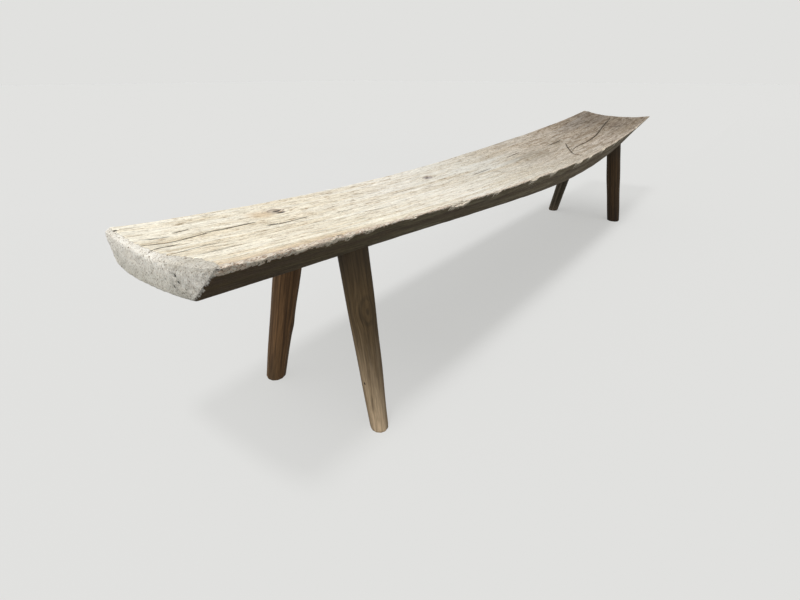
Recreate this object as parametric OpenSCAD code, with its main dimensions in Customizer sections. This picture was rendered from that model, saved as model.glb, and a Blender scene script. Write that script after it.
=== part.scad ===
// Long bench hewn from one plank: a bowed, twisted and dished seat on four splayed legs.
// X runs along the seat, the front faces -Y, Z is up and the feet stand on Z = 0.

/* [Seat] */
// Length of the seat from end to end
seat_length = 2200; // [1800:10:2600]
// Width of the seat across the rims, at the middle
seat_width = 329; // [290:1:400]
// How much narrower each end is than the middle
end_narrowing = 37; // [0:1:60]
// Height of the front rim at its lowest point
seat_height = 373; // [340:1:460]
// Depth of the hollow worn across the top
dish_depth = 15; // [5:1:20]
// Depth by which the underside swells below its two lower edges, at the middle
belly_depth = 14; // [6:1:22]
// The same swelling at the ends
belly_depth_end = 6; // [2:1:14]

/* [Bow of the rims] */
// How far the front rim rises from its lowest point to the left end
front_rise_left = 44; // [20:1:70]
// How far the front rim rises from its lowest point to the right end
front_rise_right = 60; // [20:1:80]
// Where the front rim is lowest, from the middle of the seat
front_low_place = 70; // [-400:10:400]
// How far the back rim rises from its lowest point to the left end
back_rise_left = 32; // [20:1:70]
// How far the back rim rises from its lowest point to the right end
back_rise_right = 69; // [20:1:80]
// Where the back rim is lowest, from the middle of the seat
back_low_place = -420; // [-500:10:400]
// How sharply the rims bow: 2 is a parabola
bow_power = 1.8; // [1.6:0.1:2.4]

/* [Edges of the plank] */
// Height of the front edge at the left end
front_edge_left = 59; // [50:1:70]
// Height of the front edge where it is thinnest
front_edge_least = 51; // [48:1:58]
// Height of the front edge where it is thickest
front_edge_most = 77; // [60:1:90]
// Height of the front edge at the right end
front_edge_right = 69; // [50:1:75]
// Height of the back edge at the left end
back_edge_left = 58; // [50:1:70]
// Height of the back edge where it is thinnest
back_edge_least = 54; // [48:1:58]
// Height of the back edge where it is thickest
back_edge_most = 70; // [56:1:84]
// Height of the back edge at the right end
back_edge_right = 58; // [48:1:70]
// Where both edges are thinnest, from the middle of the seat
thinnest_place = -750; // [-850:10:-650]
// Where both edges are thickest, from the middle of the seat
thickest_place = 350; // [-300:10:600]
// How far the front edge leans in under the rim along the middle
front_undercut = 46; // [25:1:55]
// How far the front edge leans in under the rim at the ends
front_undercut_end = 64; // [40:1:70]
// How far the back edge leans in under the rim
back_undercut = 5; // [0:1:30]
// Rounding of the worn front rim
front_rim_round = 4; // [2:0.5:7]
// Rounding of the worn back rim from the middle to the right end
back_rim_round = 5; // [2:0.5:10]
// Rounding of the worn back rim at the left end
back_rim_round_left = 16; // [6:1:20]
// Rounding of the lower front edge
front_low_round = 9; // [4:0.5:14]
// Rounding of the lower back edge
back_low_round = 30; // [10:1:36]
// Rounding of the two front corners, seen from above
front_corner_round = 9; // [5:1:20]
// Rounding of the two back corners, seen from above
back_corner_round = 16; // [5:1:40]
// Easing of the sharp edges round both end faces
end_ease = 7; // [2:0.5:12]
// How much further the left end runs at the back than at the front
end_skew_left = 9; // [-20:1:20]
// How far both sawn ends fall back from their middle to their corners
end_bow = 3; // [1:0.5:10]

/* [All legs] */
// Distance from the seat's side to where a leg's axis enters the underside
leg_side_setback = 86; // [80:1:100]
// Easing of the foot's edge on the floor
foot_ease = 4; // [1:0.5:5]
// How much a leg is fuller at half height than a plain taper, in radius
leg_swell = 1; // [0:0.25:3]

/* [Front left leg] */
// Diameter at the foot
front_left_foot_d = 34; // [30:1:50]
// Diameter at the shoulder
front_left_top_d = 56; // [44:1:60]
// Distance from the seat's end to where the axis enters the underside
front_left_setback = 281; // [200:1:360]
// Splay along the seat, in degrees
front_left_splay_along = 3.6; // [0:0.1:10]
// Splay across the seat, in degrees
front_left_splay_across = 11.3; // [4:0.1:14]

/* [Front right leg] */
// Diameter at the foot
front_right_foot_d = 50; // [30:1:55]
// Diameter at the shoulder
front_right_top_d = 56; // [44:1:60]
// Distance from the seat's end to where the axis enters the underside
front_right_setback = 277; // [200:1:360]
// Splay along the seat, in degrees
front_right_splay_along = 4.3; // [0:0.1:10]
// Splay across the seat, in degrees
front_right_splay_across = 10.4; // [4:0.1:14]

/* [Back left leg] */
// Diameter at the foot
back_left_foot_d = 40; // [30:1:50]
// Diameter at the shoulder
back_left_top_d = 53; // [44:1:58]
// Distance from the seat's end to where the axis enters the underside
back_left_setback = 276; // [200:1:360]
// Splay along the seat, in degrees
back_left_splay_along = 6.4; // [0:0.1:10]
// Splay across the seat, in degrees
back_left_splay_across = 11.2; // [4:0.1:14]

/* [Back right leg] */
// Diameter at the foot
back_right_foot_d = 42; // [30:1:50]
// Diameter at the shoulder
back_right_top_d = 50; // [44:1:58]
// Distance from the seat's end to where the axis enters the underside
back_right_setback = 277; // [200:1:360]
// Splay along the seat, in degrees
back_right_splay_along = 4.7; // [0:0.1:10]
// Splay across the seat, in degrees
back_right_splay_across = 11.4; // [4:0.1:14]

/* [Blind wedged tenons] */
// Diameter of every tenon
tenon_d = 32; // [24:1:36]
// Clearance of a tenon in its mortise, in radius
tenon_clearance = 0.15; // [0.05:0.05:0.4]
// Wood left above the middle of a mortise
mortise_cover = 11; // [8:0.5:14]
// How deep a leg's shoulder is let into the underside
shoulder_depth = 5; // [3:0.5:7]
// Clearance round a shoulder in its seat, in radius
shoulder_clearance = 0.2; // [0.1:0.1:0.6]
// Gap between a tenon's end and the mortise floor
tenon_end_gap = 0.6; // [0.2:0.1:1.5]
// Chamfer round a tenon's end
tenon_chamfer = 1; // [0.5:0.25:3]
// Length of the hidden wedge
wedge_length = 15; // [10:0.5:16]
// How far the wedge stops short of each side of its tenon
wedge_inset = 3; // [1:0.5:6]
// Thickness of the wedge where it bears on the mortise floor
wedge_thick = 5; // [3:0.5:7]
// Thickness of the wedge at its tip
wedge_tip = 1; // [0.5:0.1:1.5]
// How far the saw kerf runs on past the wedge's tip
kerf_runout = 1.5; // [0.5:0.5:3]

/* [Hidden] */

LEFT = -1;
RIGHT = 1;
FRONT = -1;
BACK = 1;

half_length = seat_length / 2;
bays = 26;          // lengths into which the loft divides the seat between its rounded corners
top_steps = 12;     // steps across the dished top
under_steps = 8;    // steps across the underside
top_reach = 0.88;   // share of the half width that the top's own points cover
under_reach = 0.8;  // the same for the underside, up to its rounded edges
round_steps = 4;    // steps round a worn edge
exact = 64;         // fragments of a true round
beyond = 40;        // how far a cutting tool runs on past what it cuts
overlap = 1;        // how far joined shapes run into each other

// Curves along the seat

function smooth(t) = t * t * (3 - 2 * t);

function bow(x, low_place, rise_left, rise_right) =
    x < low_place
        ? rise_left * pow((low_place - x) / (half_length + low_place), bow_power)
        : rise_right * pow((x - low_place) / (half_length - low_place), bow_power);

function edge_height(x, left, least, most, right) =
    x < thinnest_place
        ? least + (left - least) * pow((thinnest_place - x) / (half_length + thinnest_place), 2)
        : x < thickest_place
            ? least + (most - least) * smooth((x - thinnest_place) / (thickest_place - thinnest_place))
            : most - (most - right) * pow((x - thickest_place) / (half_length - thickest_place), 2);
function front_edge(x) =
    edge_height(x, front_edge_left, front_edge_least, front_edge_most, front_edge_right);
function back_edge(x) =
    edge_height(x, back_edge_left, back_edge_least, back_edge_most, back_edge_right);

function front_rim_z(x) = seat_height + bow(x, front_low_place, front_rise_left, front_rise_right);
function back_rim_z(x) = seat_height + bow(x, back_low_place, back_rise_left, back_rise_right);

function half_width(x) = seat_width / 2 - end_narrowing / 2 * pow(x / half_length, 2);
function end_share(x) = pow(abs(x) / half_length, 4);
function undercut(x) = front_undercut + (front_undercut_end - front_undercut) * end_share(x);
function belly(x) = belly_depth + (belly_depth_end - belly_depth) * end_share(x);
function back_rim_worn(x) =
    back_rim_round + (back_rim_round_left - back_rim_round) * (x < 0 ? end_share(x) : 0);

// How far a rounded corner, seen from above, has drawn the edge in at x
function corner_in(x, r) =
    let (from_end = half_length - abs(x))
    from_end < r ? r - sqrt(r * r - (r - from_end) * (r - from_end)) : 0;

// The four edges of the cross-section at x, as [y, z]

function front_rim(x) = [-half_width(x) + corner_in(x, front_corner_round), front_rim_z(x)];
function back_rim(x) = [half_width(x) - corner_in(x, back_corner_round), back_rim_z(x)];
function front_low(x) = front_rim(x) + [undercut(x), -front_edge(x)];
function back_low(x) = back_rim(x) + [-back_undercut, -back_edge(x)];

// Between two edges a and b, at s from -1 to 1, hollowed or swelled downwards by depth
function sagging(a, b, s, depth) = (a + b) / 2 + (b - a) / 2 * s - [0, depth * (1 - s * s)];
function top_point(x, s) = sagging(front_rim(x), back_rim(x), s, dish_depth);
function under_point(x, s) = sagging(front_low(x), back_low(x), s, belly(x));

// Height of the top and of the underside over the point x, y
function share_at(a, b, y) = (2 * y - a[0] - b[0]) / (b[0] - a[0]);
function top_z(x, y) = top_point(x, share_at(front_rim(x), back_rim(x), y))[1];
function under_z(x, y) = under_point(x, share_at(front_low(x), back_low(x), y))[1];

// A worn corner between the sides that run to before and to after
function toward(from, to, r) = from + (to - from) * min(r / norm(to - from), 0.45);
function worn(before, at, after, r) =
    let (a = toward(at, before, r), b = toward(at, after, r))
    [for (i = [0 : round_steps]) let (t = i / round_steps)
        a * (1 - t) * (1 - t) + at * 2 * t * (1 - t) + b * t * t];

// The whole cross-section at x, from the front rim over the top, the back and the underside
function section(x) = concat(
    [for (i = [0 : top_steps]) top_point(x, top_reach * (2 * i / top_steps - 1))],
    worn(top_point(x, top_reach), back_rim(x), back_low(x), back_rim_worn(x)),
    worn(back_rim(x), back_low(x), under_point(x, under_reach), back_low_round),
    [for (i = [0 : under_steps]) under_point(x, under_reach * (1 - 2 * i / under_steps))],
    worn(under_point(x, -under_reach), front_low(x), front_rim(x), front_low_round),
    worn(front_low(x), front_rim(x), top_point(x, -top_reach), front_rim_round)
);

// The section at x, drawn in all round
function drawn_in(x, by) =
    let (
        middle = (front_rim(x) + back_rim(x) + front_low(x) + back_low(x)) / 4,
        shrink = [1 - by / half_width(x), 1 - 2 * by / front_edge(x)]
    )
    [for (p = section(x)) [
        middle[0] + (p[0] - middle[0]) * shrink[0],
        middle[1] + (p[1] - middle[1]) * shrink[1]
    ]];

// The points of a section put at x along the seat, swung with the skew of the left end and bowed
// with the end faces
function put_at(x, points) =
    let (
        swing = x < 0 ? -end_skew_left * end_share(x) / seat_width : 0,
        fall = -sign(x) * end_bow * end_share(x) * pow(2 / seat_width, 2)
    )
    [for (p = points) [x + swing * p[0] + fall * p[0] * p[0], p[0], p[1]]];

// Rings round the quarter circle that eases the edges of an end face, from the face inwards
function eased_ring(end, angle) =
    let (x = end * (half_length - end_ease * (1 - cos(angle))))
    put_at(x, drawn_in(x, end_ease * (1 - sin(angle))));

// Where the loft has its sections: close together along the rounded corners, then in even bays
corner_run = end_ease + max(front_corner_round, back_corner_round);
corner_steps = 4;
bay = (seat_length - 2 * corner_run) / bays;
stations = concat(
    [for (i = [0 : corner_steps - 1]) end_ease + (corner_run - end_ease) * i / corner_steps],
    [for (i = [0 : bays]) corner_run + bay * i],
    [for (i = [corner_steps - 1 : -1 : 0])
        seat_length - end_ease - (corner_run - end_ease) * i / corner_steps]
);

// Triangles across an end face, from its front corner to its back one: each step goes on along the
// upper or the lower half of the outline, whichever lags behind
function across(ring, upper, lower, i = 0, j = 0) =
    let (more_up = i < len(upper) - 1, more_down = j < len(lower) - 1)
    !more_up && !more_down
        ? []
        : !more_down || (more_up && ring[upper[i + 1]][1] <= ring[lower[j + 1]][1])
            ? concat(
                [[upper[i], upper[i + 1], lower[j]]],
                across(ring, upper, lower, i + 1, j)
            )
            : concat(
                [[upper[i], lower[j + 1], lower[j]]],
                across(ring, upper, lower, i, j + 1)
            );
function end_face(ring) =
    let (
        n = len(ring),
        places = [for (p = ring) p[1]],
        front = search(min(places), places)[0],
        back = search(max(places), places)[0],
        upper = [for (k = [0 : (back - front + n) % n]) (front + k) % n],
        lower = [for (k = [0 : (front - back + n) % n]) (front - k + n) % n]
    )
    [for (t = across(ring, upper, lower)) if (t[0] != t[1] && t[1] != t[2] && t[0] != t[2]) t];

// The plank, before its shoulders' seats and mortises are cut: a loft through every section
module hewn_plank() {
    rings = concat(
        [for (angle = [0, 30, 60]) eased_ring(LEFT, angle)],
        [for (from_end = stations) put_at(from_end - half_length, section(from_end - half_length))],
        [for (angle = [60, 30, 0]) eased_ring(RIGHT, angle)]
    );
    n = len(rings[0]);
    last = len(rings) - 1;
    skin = [for (r = [0 : last - 1], k = [0 : n - 1], half = [0, 1])
        let (a = r * n + k, b = r * n + (k + 1) % n)
        half == 0 ? [a, b, b + n] : [a, b + n, a + n]];
    left_face = [for (t = end_face(rings[0])) [t[2], t[1], t[0]]];
    right_face = [for (t = end_face(rings[last])) [for (k = t) last * n + k]];
    polyhedron(points = [for (ring = rings) each ring], faces = concat(skin, left_face, right_face));
}

// Each leg: its end and side, then its setback, splays and diameters

front_left = [
    LEFT, FRONT, front_left_setback, front_left_splay_along, front_left_splay_across,
    front_left_foot_d, front_left_top_d
];
front_right = [
    RIGHT, FRONT, front_right_setback, front_right_splay_along, front_right_splay_across,
    front_right_foot_d, front_right_top_d
];
back_left = [
    LEFT, BACK, back_left_setback, back_left_splay_along, back_left_splay_across,
    back_left_foot_d, back_left_top_d
];
back_right = [
    RIGHT, BACK, back_right_setback, back_right_splay_along, back_right_splay_across,
    back_right_foot_d, back_right_top_d
];
function foot_d(leg) = leg[5];
function top_d(leg) = leg[6];

// A leg's axis enters the underside at entry and leans towards the middle by its two splays
function entry(leg) =
    let (x = leg[0] * (half_length - leg[2]), y = leg[1] * (seat_width / 2 - leg_side_setback))
    [x, y, under_z(x, y)];
function lean(leg) =
    let (d = [-leg[0] * tan(leg[3]), -leg[1] * tan(leg[4]), 1]) d / norm(d);
function foot(leg) = entry(leg) - lean(leg) * entry(leg)[2] / lean(leg)[2];

// Lengths along the axis, measured from the foot
function to_shoulder(leg) = entry(leg)[2] / lean(leg)[2] + shoulder_depth;
function to_mortise_floor(leg) =
    let (
        up = lean(leg),
        in = entry(leg),
        out = in + up * (top_z(in[0], in[1]) - in[2]) / up[2]
    )
    top_z(out[0], out[1]) / up[2] - mortise_cover;

// Puts what is drawn round +Z with its foot at the origin onto a leg's axis
module on_axis(leg) {
    up = lean(leg);
    translate(foot(leg))
        rotate(a = acos(up[2]), v = [-up[1], up[0], 0])
            children();
}

// The seat for a shoulder and the mortise above it
module mortise(leg) {
    shoulder = to_shoulder(leg);
    on_axis(leg) {
        translate([0, 0, shoulder - shoulder_depth - beyond])
            cylinder(h = shoulder_depth + beyond, d = top_d(leg) + 2 * shoulder_clearance, $fn = exact);
        translate([0, 0, shoulder - overlap])
            cylinder(
                h = to_mortise_floor(leg) - shoulder + overlap,
                d = tenon_d + 2 * tenon_clearance,
                $fn = exact
            );
    }
}

// The side view of the wedge: thin at the tip, thick where it bears on the mortise floor
module wedge_outline() {
    polygon([
        [-wedge_tip / 2, 0], [wedge_tip / 2, 0],
        [wedge_thick / 2, wedge_length], [-wedge_thick / 2, wedge_length]
    ]);
}

// The tapered saw cut that the wedge fills, open at the tenon's end and on both sides
module kerf(leg) {
    translate([0, tenon_d, to_mortise_floor(leg) - wedge_length])
        rotate([90, 0, 0])
            linear_extrude(2 * tenon_d) {
                wedge_outline();
                translate([-wedge_tip / 2, -kerf_runout])
                    square([wedge_tip, kerf_runout + overlap]);
            }
}

// The round of a leg: swelled taper, shoulder and tenon with a chamfered end
module leg_round(leg) {
    steps = 6;
    foot_r = foot_d(leg) / 2;
    top_r = top_d(leg) / 2;
    tenon_r = tenon_d / 2;
    shoulder = to_shoulder(leg);
    tenon_end = to_mortise_floor(leg) - tenon_end_gap;
    rotate_extrude($fn = exact)
        polygon(concat(
            [[0, -beyond], [foot_r, -beyond]],
            [for (i = [0 : steps]) let (t = i / steps)
                [foot_r + (top_r - foot_r) * t + leg_swell * 4 * t * (1 - t), shoulder * t]],
            [[tenon_r, shoulder], [tenon_r, tenon_end - tenon_chamfer], [tenon_r - tenon_chamfer, tenon_end]],
            [[0, tenon_end]]
        ));
}

// Everything above the floor, with the foot's edge eased at 45 degrees
module standing(leg) {
    sole_r = foot_d(leg) / 2 - foot_ease;
    high = 2 * seat_height;
    translate(foot(leg))
        rotate_extrude($fn = exact)
            polygon([[0, 0], [sole_r, 0], [sole_r + high, high], [0, high]]);
}

module leg(leg) {
    intersection() {
        on_axis(leg)
            difference() {
                leg_round(leg);
                kerf(leg);
            }
        standing(leg);
    }
}

// A wedge stands across the grain of the seat, so that it spreads its tenon along the grain
module wedge(leg) {
    width = tenon_d - 2 * wedge_inset;
    on_axis(leg)
        translate([0, width / 2, to_mortise_floor(leg) - wedge_length])
            rotate([90, 0, 0])
                linear_extrude(width)
                    wedge_outline();
}

module seat_slab() {
    color("#cfc3ab")
        difference() {
            hewn_plank();
            for (leg = [front_left, front_right, back_left, back_right])
                mortise(leg);
        }
}

module leg_front_left() { color("#75624e") leg(front_left); }
module leg_front_right() { color("#3d2f22") leg(front_right); }
module leg_back_left() { color("#6b4d38") leg(back_left); }
module leg_back_right() { color("#45352a") leg(back_right); }

module wedge_front_left() { color("#a8835a") wedge(front_left); }
module wedge_front_right() { color("#a8835a") wedge(front_right); }
module wedge_back_left() { color("#a8835a") wedge(back_left); }
module wedge_back_right() { color("#a8835a") wedge(back_right); }

seat_slab();
leg_front_left();
leg_front_right();
leg_back_left();
leg_back_right();
wedge_front_left();
wedge_front_right();
wedge_back_left();
wedge_back_right();
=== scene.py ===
import math

import bpy
import numpy as np
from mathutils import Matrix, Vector, noise


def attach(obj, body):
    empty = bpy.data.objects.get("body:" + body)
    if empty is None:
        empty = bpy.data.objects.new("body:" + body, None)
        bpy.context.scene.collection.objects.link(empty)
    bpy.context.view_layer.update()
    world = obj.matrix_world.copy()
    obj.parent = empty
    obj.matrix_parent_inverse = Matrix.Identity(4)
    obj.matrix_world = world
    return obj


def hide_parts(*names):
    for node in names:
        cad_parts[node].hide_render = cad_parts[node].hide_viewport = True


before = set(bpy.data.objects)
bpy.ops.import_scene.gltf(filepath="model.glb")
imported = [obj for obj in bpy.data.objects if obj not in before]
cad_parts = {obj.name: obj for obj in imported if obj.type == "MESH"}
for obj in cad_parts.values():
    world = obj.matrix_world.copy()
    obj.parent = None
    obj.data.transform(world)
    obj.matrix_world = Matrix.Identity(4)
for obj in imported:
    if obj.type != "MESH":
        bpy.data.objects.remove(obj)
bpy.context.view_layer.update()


# Camera: a wide lens 0.6 m above the floor, off the near left end of the bench, looking down its length.
camera_place = (-1.3123, -0.5654, 0.6037)
camera_turn = (math.pi / 2 - 0.4796, 0.0012, 0.6623 - math.pi / 2)
bpy.ops.object.camera_add(location=camera_place, rotation=camera_turn)
camera = bpy.context.object
camera.data.sensor_width = 36
camera.data.lens = 19.5
camera.data.clip_start = 0.02
bpy.context.scene.camera = camera


# Seat: one heavy plank hewn from a bowed log and weathered pale on top. Its top is dished, its front edge
# is cut back underneath, its back edge is worn round, and both ends are sawn and bare. The block is sliced
# into a fine grid and every crossing is moved to its place on the hewn shape.
seat_length = 2.2
half_length = seat_length / 2
seat_width = 0.329
end_narrowing = 0.037
seat_height = 0.373
dish_depth = 0.015

# How far each sawn end runs askew across the plank, and how far its corners fall back.
left_skew = 0.009
right_skew = 0.032
end_fall = 0.003

# Each rim: where it lies lowest, and how far it has risen at the left and at the right end. Each edge: its
# height at the left end, where it is thinnest, where it is thickest, and at the right end.
front_bow = (0.07, 0.044, 0.060)
back_bow = (-0.42, 0.032, 0.069)
front_edge = (0.059, 0.051, 0.077, 0.069)
back_edge = (0.058, 0.054, 0.070, 0.058)

# The block is sliced in two goes along and across, because one go makes 100 cuts at most.
slices_along = (29, 10)
slices_across = (16, 8)
slices_deep = 20

bpy.ops.object.select_all(action="DESELECT")
bpy.ops.mesh.primitive_cube_add(size=2)
seat = bpy.context.object
seat.name = "hewn_seat"


def read_points(mesh):
    """The mesh's vertices as an array, a row for each."""
    flat = np.zeros(len(mesh.vertices) * 3)
    mesh.vertices.foreach_get("co", flat)
    return flat.reshape(-1, 3)


def slice_block(block, way, cuts):
    """Cuts every edge that runs along one axis of a block or a post into equal lengths."""
    bpy.ops.object.mode_set(mode="OBJECT")
    mesh = block.data
    corners = read_points(mesh)
    ends = np.zeros(len(mesh.edges) * 2, int)
    mesh.edges.foreach_get("vertices", ends)
    ends = ends.reshape(-1, 2)
    runs = np.abs(corners[ends[:, 1]] - corners[ends[:, 0]])[:, way] > 1e-6
    mesh.vertices.foreach_set("select", np.zeros(len(mesh.vertices), bool))
    mesh.polygons.foreach_set("select", np.zeros(len(mesh.polygons), bool))
    mesh.edges.foreach_set("select", runs)
    bpy.context.tool_settings.mesh_select_mode = (False, True, False)
    bpy.ops.object.mode_set(mode="EDIT")
    bpy.ops.mesh.subdivide(number_cuts=cuts)
    bpy.ops.object.mode_set(mode="OBJECT")


for cut in slices_along:
    slice_block(seat, 0, cut - 1)
for cut in slices_across:
    slice_block(seat, 1, cut - 1)
slice_block(seat, 2, slices_deep - 1)


def smooth_step(low, high, value):
    share = np.clip((value - low) / (high - low), 0, 1)
    return share * share * (3 - 2 * share)


def spread(share, places, gaps):
    """Turns an even share from 0 to 1 into places whose spacing follows the wanted gaps."""
    fine = np.linspace(places[0], places[-1], 4001)
    count = np.concatenate([[0], np.cumsum(np.diff(fine) / np.interp(fine[1:], places, gaps))])
    return np.interp(share, count / count[-1], fine)


def bow(x, low, left, right):
    """How far a rim has risen from its lowest place towards either end."""
    reach = np.where(x < low, half_length + low, half_length - low)
    return np.where(x < low, left, right) * (np.abs(x - low) / reach) ** 1.8


def edge_depth(x, left, least, most, right):
    """The height of the front or back edge, thinnest near the left end and thickest past the middle."""
    thin, thick = -0.75, 0.35
    near = least + (left - least) * ((thin - x) / (half_length + thin)) ** 2
    between = least + (most - least) * smooth_step(thin, thick, x)
    far = most - (most - right) * ((x - thick) / (half_length - thick)) ** 2
    return np.where(x < thin, near, np.where(x < thick, between, far))


def plank_corners(x):
    """The corners of the cross-section at x, each as (y, z): front rim, back rim, front low and back low."""
    share = np.clip(np.abs(x) / half_length, 0, 1)
    half_width = seat_width / 2 - end_narrowing / 2 * share ** 2
    from_end = half_length - np.abs(x)

    def corner_in(size):
        """How far a rim turns in where its corner at the sawn end is rounded."""
        left_over = np.clip(size - from_end, 0, size)
        return size - np.sqrt(size ** 2 - left_over ** 2)

    front_in = corner_in(np.where(x < 0, 0.005, 0.013))
    back_in = corner_in(np.where(x < 0, 0.007, 0.016))
    back_lift = 0.004 * smooth_step(0.75, 1.1, x) + 0.003 * smooth_step(-0.8, -1.1, x)
    front_rim = np.stack([front_in - half_width, seat_height + bow(x, *front_bow)], 1)
    back_rim = np.stack([half_width - back_in, seat_height + bow(x, *back_bow) + back_lift], 1)
    undercut = 0.046 + 0.018 * share ** 4
    front_low = front_rim + np.stack([undercut, -edge_depth(x, *front_edge)], 1)
    back_low = back_rim + np.stack([np.full_like(x, -0.005), -edge_depth(x, *back_edge)], 1)
    return front_rim, back_rim, front_low, back_low


def sharp_place(x, across, up):
    """A place in the cross-section before its corners are worn: across and up run from -1 to 1."""
    front_rim, back_rim, front_low, back_low = plank_corners(x)
    belly = 0.014 - 0.008 * (np.abs(x) / half_length) ** 4
    arch = 1 - across ** 2
    top = (front_rim + back_rim) / 2 + (back_rim - front_rim) / 2 * across[:, None]
    top[:, 1] -= dish_depth * arch
    under = (front_low + back_low) / 2 + (back_low - front_low) / 2 * across[:, None]
    under[:, 1] -= belly * arch
    return under + (top - under) * (up[:, None] + 1) / 2


def worn_place(x, across, up):
    """A place on the outline of the cross-section, with its four long corners worn round."""
    front_rim, back_rim, front_low, back_low = plank_corners(x)
    place = sharp_place(x, across, up)
    front_rim_wear = 0.004 + 0.010 * smooth_step(-0.72, -0.95, x) * smooth_step(-1.105, -1.05, x)
    back_rim_wear = 0.005 + 0.004 * np.where(x < 0, (np.abs(x) / half_length) ** 4, 0)
    front_low_wear = 0.009 - 0.005 * smooth_step(-0.8, -1.08, x)
    back_low_wear = 0.026 + 0.010 * smooth_step(-0.8, -1.1, x)
    corners = (
        (-1, 1, front_rim, back_rim, front_low, front_rim_wear),
        (1, 1, back_rim, front_rim, back_low, back_rim_wear),
        (-1, -1, front_low, back_low, front_rim, front_low_wear),
        (1, -1, back_low, front_low, back_rim, back_low_wear),
    )
    for side, level, corner, over, along, wear in corners:
        width = np.linalg.norm(over - corner, axis=1)
        depth = np.linalg.norm(along - corner, axis=1)
        way_over = (over - corner) / width[:, None]
        way_along = (along - corner) / depth[:, None]
        on_flat = np.abs(up - level) < 1e-6
        on_edge = (np.abs(across - side) < 1e-6) & ~on_flat
        far_over = (1 - side * across) / 2 * width
        far_along = (1 - level * up) / 2 * depth
        turn = np.where(on_flat, 0.5 * (1 - far_over / wear), 0.5 * (1 + far_along / wear))
        near = (on_flat & (far_over < wear)) | (on_edge & (far_along < wear))
        shift_over = wear * (1 - turn) ** 2 - np.where(on_flat, far_over, 0)
        shift_along = wear * turn ** 2 - np.where(on_edge, far_along, 0)
        shift = way_over * shift_over[:, None] + way_along * shift_along[:, None]
        place += np.where(near[:, None], shift, 0)
    return place


# The grid is finest at the left end, where the torn rim and the worn lip need it, and coarser to the right.
grid = read_points(seat.data)
gap_places = [-1.1, -1.085, -1.05, -0.8, -0.3, 0.5, 0.9, 1.06, 1.09, 1.1]
gap_sizes = [0.0022, 0.0028, 0.0034, 0.0048, 0.008, 0.0115, 0.010, 0.007, 0.003, 0.002]
along = spread((grid[:, 0] + 1) / 2, gap_places, gap_sizes)
across = spread((grid[:, 1] + 1) / 2, [-1, -0.93, 0, 0.95, 1], [0.45, 0.7, 1.15, 0.9, 0.6])
up = grid[:, 2]
on_end = np.abs(grid[:, 0]) > 1 - 1e-6
on_top = up > 1 - 1e-6
on_underside = up < -1 + 1e-6

# On a sawn end the grid is stretched between the four worn sides of the outline.
section = worn_place(along, across, up)
right_share = (across + 1) / 2
top_share = (up + 1) / 2
low, high = -np.ones_like(along), np.ones_like(along)
filled = (
    worn_place(along, across, low) * (1 - top_share)[:, None]
    + worn_place(along, across, high) * top_share[:, None]
    + worn_place(along, low, up) * (1 - right_share)[:, None]
    + worn_place(along, high, up) * right_share[:, None]
    - worn_place(along, low, low) * ((1 - right_share) * (1 - top_share))[:, None]
    - worn_place(along, high, low) * (right_share * (1 - top_share))[:, None]
    - worn_place(along, low, high) * ((1 - right_share) * top_share)[:, None]
    - worn_place(along, high, high) * (right_share * top_share)[:, None]
)
section = np.where(on_end[:, None], filled, section)


def ragged_line(places, per_metre, row, lane):
    """Noise along a line, between about -1 and 1."""
    return np.array([noise.noise((place * per_metre, row, lane)) for place in places.tolist()])


# The arris round each sawn end is worn. At the front of the left end it is worn far back, to a ragged lip.
right_ease = 0.007
left_ease = 0.0018
lip_places = [-0.155, -0.145, -0.132, -0.115, -0.091, -0.059, -0.035, -0.015, 0.009, 0.05, 0.10, 0.15]
lip_sizes = [0.002, 0.004, 0.010, 0.019, 0.026, 0.030, 0.025, 0.018, 0.013, 0.010, 0.009, 0.008]
lip = np.interp(section[:, 0], lip_places, lip_sizes) * (1 + 0.12 * ragged_line(section[:, 0], 60, 3.1, 0))
from_end = half_length - np.abs(along)
front_rim, back_rim, _, _ = plank_corners(along)
deep = np.linalg.norm(sharp_place(along, across, high) - sharp_place(along, across, low), axis=1)
wide = back_rim[:, 0] - front_rim[:, 0]
from_top = (1 - top_share) * deep
from_side = np.minimum(right_share, 1 - right_share) * wide
inward = np.minimum(np.minimum(from_top, top_share * deep), from_side)
end_topness = smooth_step(-0.004, 0.008, from_side - from_top) * smooth_step(-0.010, 0.010, deep / 2 - from_top)
topness = np.where(on_top, 1, np.where(on_end, end_topness, np.exp(-from_top / 0.006)))
left_end = along < 0
ease_along = np.where(left_end, left_ease + (lip - left_ease) * topness, right_ease)
ease_deep = np.where(left_end, left_ease + (0.68 * lip - left_ease) * topness, right_ease)
turn = np.where(on_end, 0.5 * (1 + inward / ease_deep), 0.5 * (1 - from_end / ease_along))
turn = np.clip(turn, 0, 1)
at_arris = np.where(on_end, inward < ease_deep, from_end < ease_along)
core = sharp_place(along, np.clip(across, -0.85, 0.85), 0 * up)
way_in = core - section
way_in /= np.linalg.norm(way_in, axis=1)[:, None] + 1e-9
step_in = np.where(at_arris, ease_deep * turn ** 1.5 - np.where(on_end, inward, 0), 0)
section = section + way_in * step_in[:, None]
new_from_end = np.where(at_arris, ease_along * (1 - turn) ** 1.7, from_end)
place_x = np.sign(along) * (half_length - new_from_end)

# Both ends are sawn askew, the right one shorter at its back, and both fall back towards their corners.
end_share = (np.abs(place_x) / half_length) ** 4
swing = np.where(place_x < 0, -left_skew / seat_width * end_share, 0)
fall = -np.sign(place_x) * end_fall * end_share * (2 / seat_width) ** 2
place_x = place_x + swing * section[:, 0] + fall * section[:, 0] ** 2
from_front = np.clip((section[:, 0] + 0.15) / 0.3, 0, 1)
place_x -= np.where(place_x > 0, right_skew * end_share * from_front ** 3, 0)
shape = np.column_stack([place_x, section])

seat.data.vertices.foreach_set("co", shape.ravel())
seat.data.update()


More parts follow.
